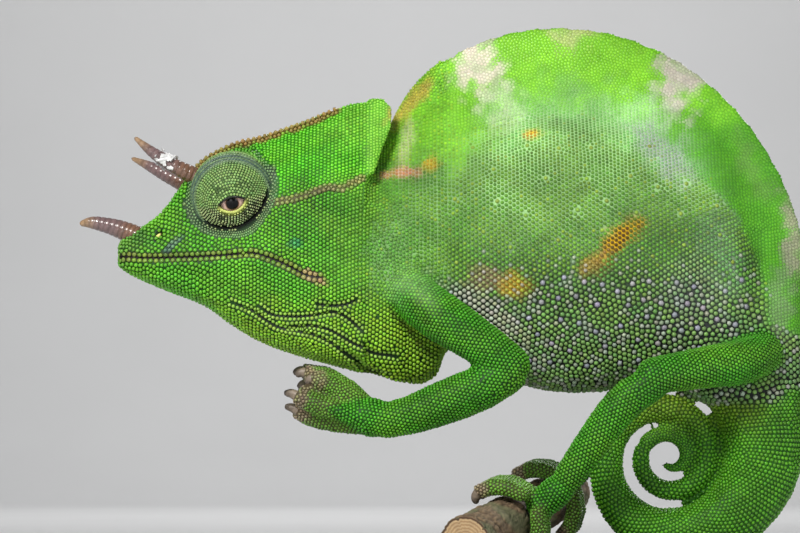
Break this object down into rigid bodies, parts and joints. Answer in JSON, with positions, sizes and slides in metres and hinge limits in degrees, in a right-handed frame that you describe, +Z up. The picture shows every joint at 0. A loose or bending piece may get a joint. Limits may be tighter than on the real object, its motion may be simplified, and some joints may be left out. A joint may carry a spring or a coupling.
{
  "type": "usambara three-horned chameleon display model",
  "caption": "Life-size still model of a three-horned chameleon with a tall back sail and coiled tail, gripping a short perch on a small display stand.",
  "frame": {"origin": "centre of the stand base's underside", "axes": "+Z up; the animal faces -X, its left side towards -Y"},
  "size_m": [0.1316, 0.0611, 0.1065],
  "materials": {
    "skin": "satin, finely scaled, saturated green",
    "flank_skin": "satin, coarse rounded scales in green, violet grey and yellow",
    "sail_skin": "satin, small flat scales, lime green with pale pink patches",
    "horn": "ringed horn, mauve brown with a tan tip, slightly glossy",
    "eye": "wet, dark pupil in a pink-beige ring",
    "bark": "thin, dull bark",
    "stand": "matt black, lightly grained",
    "rod": "brushed steel"
  },
  "bodies": {
    "root": {"head": "skin", "neck": "skin", "torso": "flank_skin", "dorsal_sail": "sail_skin", "occipital_lobe_left": "skin", "eye_turret_left": "skin", "eyeball_left": "eye", "preocular_horn_left": "horn", "upper_arm_left": "skin", "forearm_left": "skin", "hand_left": "skin", "thigh_left": "skin", "shin_left": "skin", "foot_left": "skin", "hand_left_outer_toes": "skin", "hand_left_inner_toes": "skin", "foot_left_outer_toes": "skin", "foot_left_inner_toes": "skin", "occipital_lobe_right": "skin", "eye_turret_right": "skin", "eyeball_right": "eye", "preocular_horn_right": "horn", "upper_arm_right": "skin", "forearm_right": "skin", "hand_right": "skin", "thigh_right": "skin", "shin_right": "skin", "foot_right": "skin", "hand_right_outer_toes": "skin", "hand_right_inner_toes": "skin", "foot_right_outer_toes": "skin", "foot_right_inner_toes": "skin", "tail_1": "skin", "tail_2": "skin", "tail_3": "skin", "tail_4": "skin", "tail_5": "skin", "tail_6": "skin", "tail_7": "skin", "rostral_horn": "horn", "perch": "bark", "stand_base": "stand", "stand_rod": "rod"}
  },
  "joints": []
}
